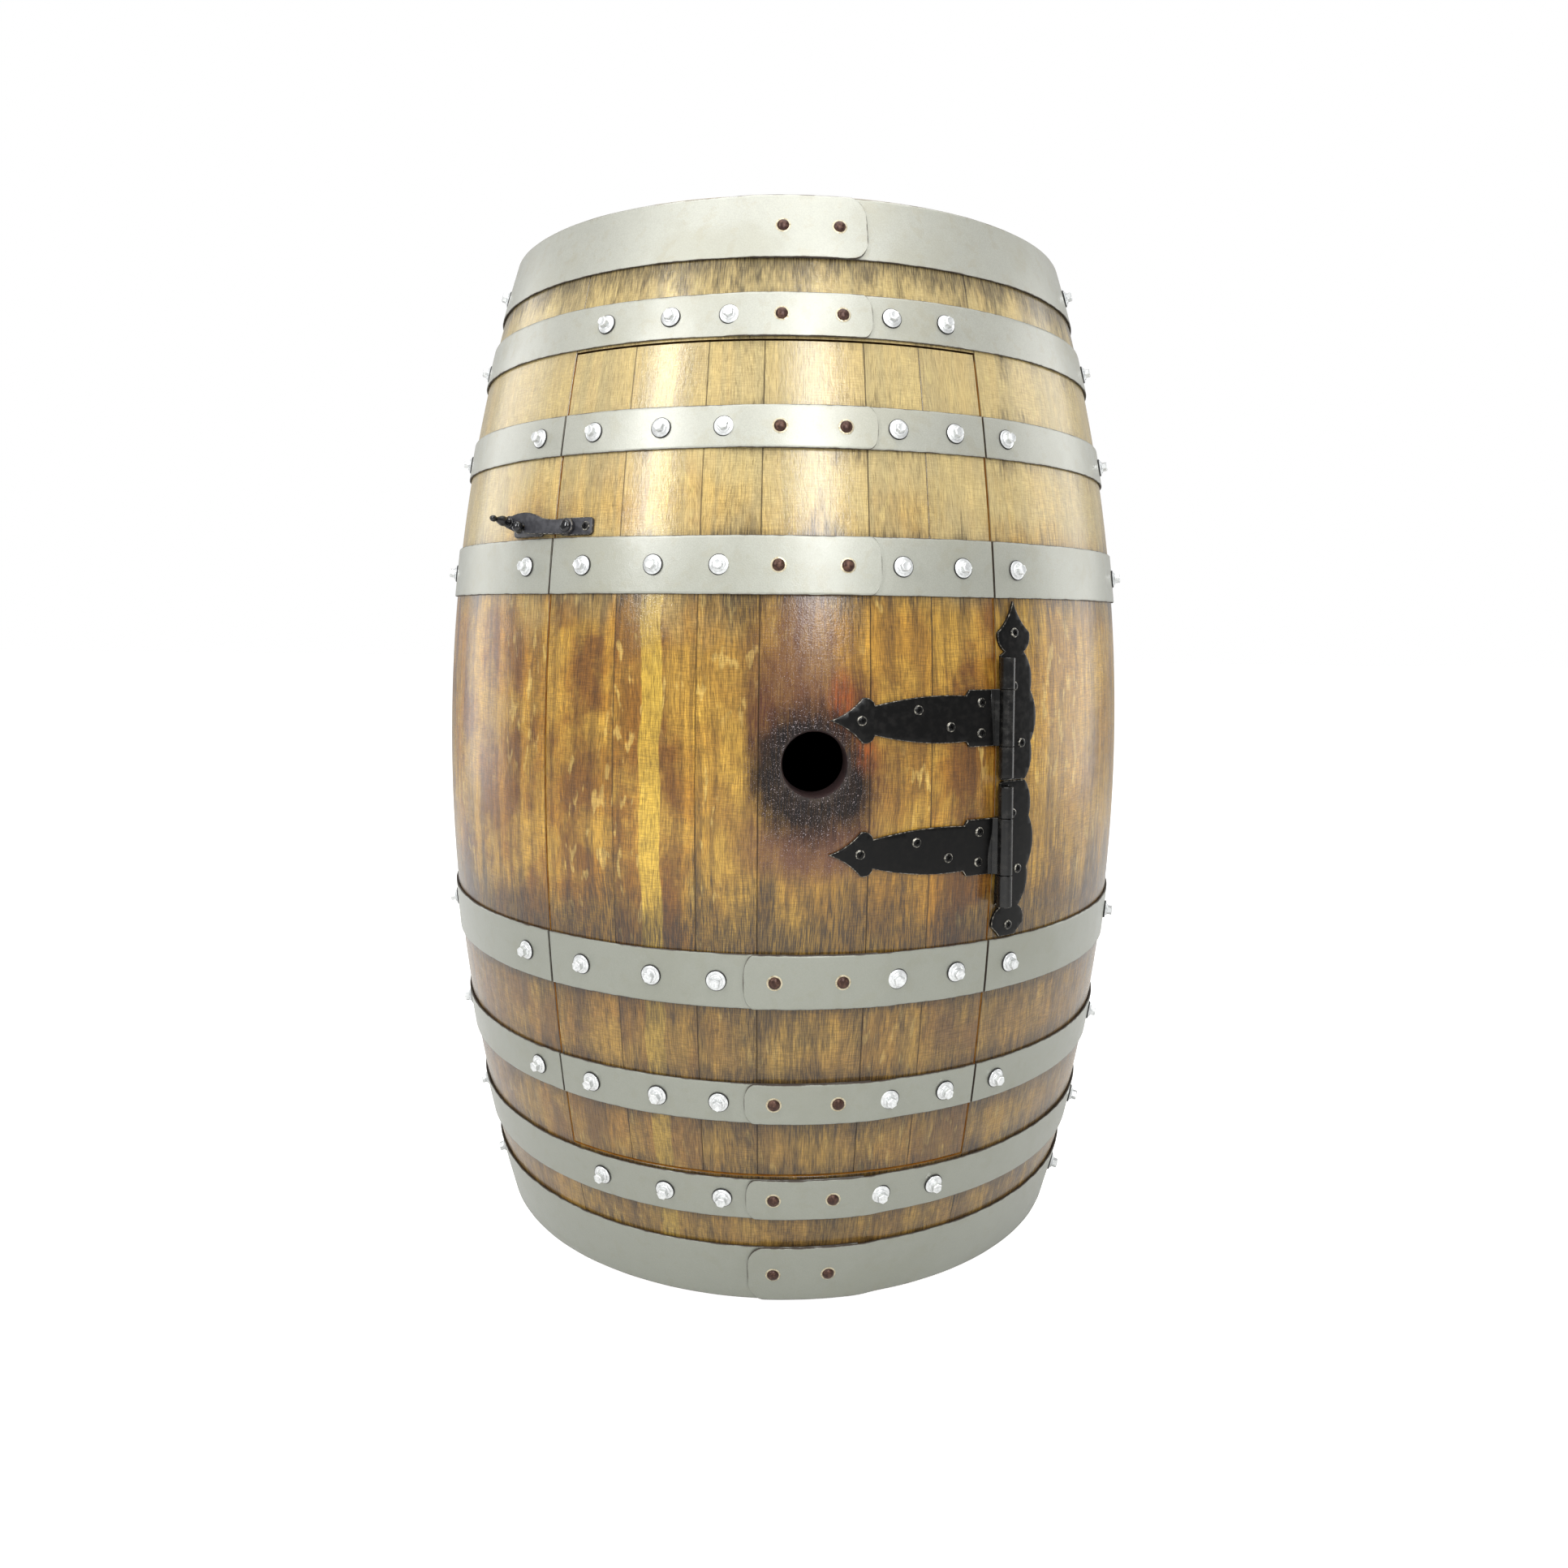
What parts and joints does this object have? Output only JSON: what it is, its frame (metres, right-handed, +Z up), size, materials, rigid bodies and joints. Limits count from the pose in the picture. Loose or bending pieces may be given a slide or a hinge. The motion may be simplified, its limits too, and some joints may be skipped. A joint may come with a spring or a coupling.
{
  "type": "barrel bar cabinet",
  "caption": "Upright bar cabinet made from a hooped oak barrel, with a curved hinged door, a latch, a shelf and a hanging glass rack.",
  "frame": {"origin": "centre of the ring of stave ends that the barrel stands on", "axes": "+Z up along the barrel; -Y is the front, through the middle of the door; +X is the hinge side"},
  "size_m": [0.713, 0.7141, 0.95],
  "materials": {
    "stave_oak": "oiled oak, vertical grain, stained near the hoops",
    "head_oak": "oiled oak boards",
    "shelf_wood": "laminated shelf board",
    "rack_wood": "planed strips",
    "hoop_steel": "weathered galvanised steel",
    "zinc_bolt": "bright zinc",
    "rivet": "dark steel rivet",
    "black_iron": "black forged iron, satin",
    "brass_screw": "passivated screw"
  },
  "bodies": {
    "barrel": {"left_staves": "stave_oak", "rear_staves": "stave_oak", "right_staves": "stave_oak", "header_staves": "stave_oak", "sill_staves": "stave_oak", "bottom_head": "head_oak", "top_head": "head_oak", "bottom_chime_hoop": "hoop_steel", "lower_quarter_hoop": "hoop_steel", "lower_french_hoop": "hoop_steel", "lower_bilge_hoop": "hoop_steel", "upper_bilge_hoop": "hoop_steel", "upper_french_hoop": "hoop_steel", "upper_quarter_hoop": "hoop_steel", "top_chime_hoop": "hoop_steel", "hoop_bolts": "zinc_bolt", "hoop_rivets": "rivet", "shelf": "shelf_wood", "shelf_cleats": "rack_wood", "bottle_dividers": "rack_wood", "rack_spacers": "rack_wood", "rack_rails": "rack_wood", "lower_hinge_plate": "black_iron", "upper_hinge_plate": "black_iron", "hinge_pins": "black_iron", "hinge_plate_screws": "black_iron", "latch_catch": "black_iron", "latch_catch_screws": "black_iron"},
    "door": {"door_stave_1": "stave_oak", "door_stave_2": "stave_oak", "door_stave_3": "stave_oak", "bung_stave": "stave_oak", "door_stave_5": "stave_oak", "door_stave_6": "stave_oak", "door_lower_french_hoop": "hoop_steel", "door_lower_bilge_hoop": "hoop_steel", "door_upper_bilge_hoop": "hoop_steel", "door_upper_french_hoop": "hoop_steel", "door_bolts": "zinc_bolt", "door_rivets": "rivet", "lower_hinge_strap": "black_iron", "upper_hinge_strap": "black_iron", "hinge_strap_screws": "black_iron", "lower_inner_strap": "hoop_steel", "upper_inner_strap": "hoop_steel", "inner_strap_screws": "brass_screw", "latch_plate": "black_iron", "latch_plate_screw": "black_iron", "latch_pivot": "black_iron"},
    "latch_bar": {"latch_bar": "black_iron", "latch_finial": "black_iron"}
  },
  "joints": [
    {"name": "door_swing", "type": "hinge", "parent": "barrel", "child": "door", "pos_m": [0.19977, -0.30464, 0.402], "axis": [0, 0, 1], "range_deg": [0, 120]},
    {"name": "latch_swing", "type": "hinge", "parent": "door", "child": "latch_bar", "pos_m": [-0.17036, -0.29988, 0.667], "axis": [0.4449, 0.8884, -0.1129], "range_deg": [0, 145]}
  ]
}
